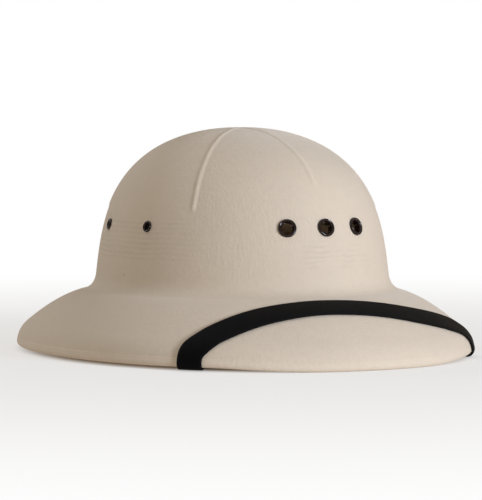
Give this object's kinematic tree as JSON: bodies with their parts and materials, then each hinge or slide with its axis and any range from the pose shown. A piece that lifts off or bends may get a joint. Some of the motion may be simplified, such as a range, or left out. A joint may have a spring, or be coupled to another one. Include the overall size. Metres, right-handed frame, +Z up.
{
  "type": "pith helmet",
  "caption": "Round-crowned sun helmet of pressed fibre with a wide sloping brim, metal vent eyelets, an inner headband and a chin strap stored over the front brim.",
  "frame": {"origin": "on the surface that the brim stands on, under the middle of the helmet", "axes": "-Y to the helmet's front, +X to the wearer's left, +Z up out of the crown"},
  "size_m": [0.2758, 0.3394, 0.146],
  "materials": {
    "tan_fibre": "matte cloth-covered pressed fibre, fine pebbled grain",
    "black_enamel": "glossy black enamel on brass eyelets",
    "black_band": "glossy black coated leather",
    "pale_spacer": "pale grey-beige felt",
    "black_vinyl": "satin black vinyl"
  },
  "bodies": {
    "root": {"shell": "tan_fibre", "eyelet_front_middle": "black_enamel", "eyelet_front_left": "black_enamel", "eyelet_front_right": "black_enamel", "eyelet_left_fore": "black_enamel", "eyelet_left_aft": "black_enamel", "eyelet_right_fore": "black_enamel", "eyelet_right_aft": "black_enamel", "headband": "black_band", "spacer_left_fore": "pale_spacer", "spacer_right_fore": "pale_spacer", "spacer_left_aft": "pale_spacer", "spacer_right_aft": "pale_spacer", "chin_strap": "black_vinyl"}
  },
  "joints": []
}
